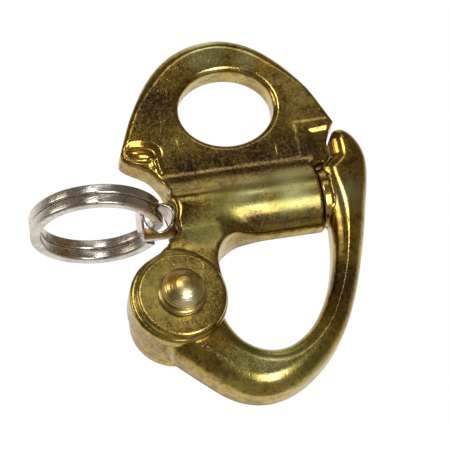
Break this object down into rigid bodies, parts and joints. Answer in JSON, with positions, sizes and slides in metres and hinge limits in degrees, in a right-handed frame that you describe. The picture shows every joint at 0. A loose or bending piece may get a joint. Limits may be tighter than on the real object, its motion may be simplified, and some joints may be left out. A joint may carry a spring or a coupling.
{
  "type": "snap shackle",
  "caption": "Fixed-eye snap shackle: fan-shaped eye plate on a plunger barrel, riveted hinged bow, spring-loaded plunger with a split pull ring.",
  "frame": {"origin": "centre of the eye, in the middle of the plate's thickness", "axes": "+Z from the bow up through the eye, +X from the pull ring to the bow's tip, +Y into the thickness, away from the rivet's domed head"},
  "size_m": [0.0645, 0.0252, 0.0722],
  "materials": {
    "gold_body": "polished casting with a yellow-gold to olive iridescent plating, fine pits and scratches",
    "gold_bow": "polished casting with a yellow-gold to olive iridescent plating, fine pits and scratches",
    "gold_rivet": "turned and plated, concentric tool marks",
    "bush": "turned",
    "plunger_steel": "turned stainless",
    "spring_steel": "drawn wire",
    "ring_steel": "polished drawn stainless with fine lines along the wire"
  },
  "bodies": {
    "shackle_body": {"body": "gold_body", "pivot_rivet": "gold_rivet", "mouth_bush": "bush", "plunger_spring": "spring_steel"},
    "bow": {"bow": "gold_bow"},
    "plunger": {"plunger": "plunger_steel"},
    "pull_ring": {"pull_ring": "ring_steel"}
  },
  "joints": [
    {"name": "plunger_slide", "type": "slide", "parent": "shackle_body", "child": "plunger", "axis": [-1, 0, 0], "range_m": [0, 0.0065], "stiffness_N_per_m": 300, "springref_m": -0.006, "deforming": ["plunger_spring"]},
    {"name": "bow_hinge", "type": "hinge", "parent": "shackle_body", "child": "bow", "pos_m": [-0.0165, 0, -0.038], "axis": [0, 1, 0], "range_deg": [0, 115]},
    {"name": "ring_swing", "type": "hinge", "parent": "plunger", "child": "pull_ring", "pos_m": [-0.0169, 0, -0.0199], "axis": [0, 1, 0], "range_deg": [-42, 72]}
  ]
}
